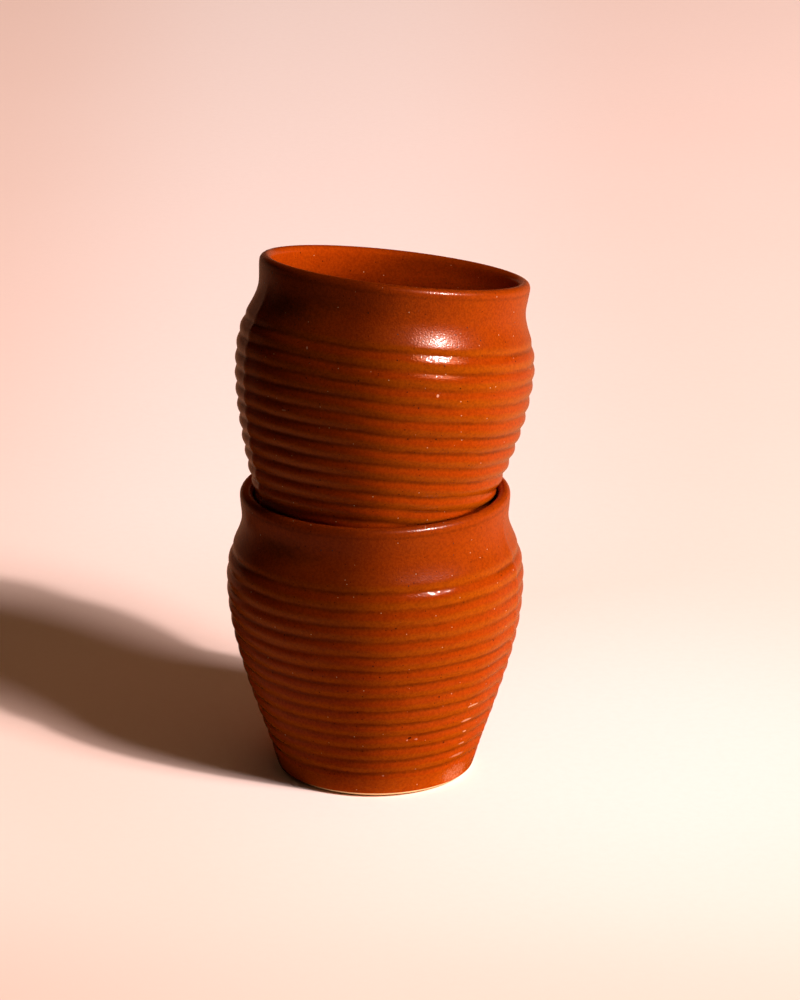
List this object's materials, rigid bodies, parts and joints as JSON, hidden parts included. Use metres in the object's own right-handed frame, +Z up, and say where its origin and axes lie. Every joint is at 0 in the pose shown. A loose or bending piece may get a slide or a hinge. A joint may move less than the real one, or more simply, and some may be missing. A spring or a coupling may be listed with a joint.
{
  "type": "clay kulhad cup",
  "caption": "Glazed clay tea cup with a ringed, rounded belly and a necked rim, holding an alike cup that leans nested in its mouth and lifts out.",
  "frame": {"origin": "on the table, under the middle of the lower cup's foot", "axes": "+Z up along the lower cup's axis, -Y towards the picture's viewer, +X to the viewer's right; the upper cup leans towards +X and +Y"},
  "size_m": [0.0888, 0.0896, 0.1552],
  "materials": {
    "bare_clay": "matte fired clay, bare at the foot",
    "outer_glaze": "satin-gloss orange-brown glaze with dark iron specks",
    "liner_glaze": "satin-gloss orange-brown glaze, poured inside"
  },
  "bodies": {
    "lower_cup": {"lower_clay_body": "bare_clay", "lower_outer_glaze": "outer_glaze", "lower_liner_glaze": "liner_glaze"},
    "upper_cup": {"upper_clay_body": "bare_clay", "upper_outer_glaze": "outer_glaze", "upper_liner_glaze": "liner_glaze"}
  },
  "joints": [
    {"name": "upper_cup_lift", "type": "slide", "parent": "lower_cup", "child": "upper_cup", "axis": [0, 0, 1], "range_m": [0, 0.03]}
  ]
}
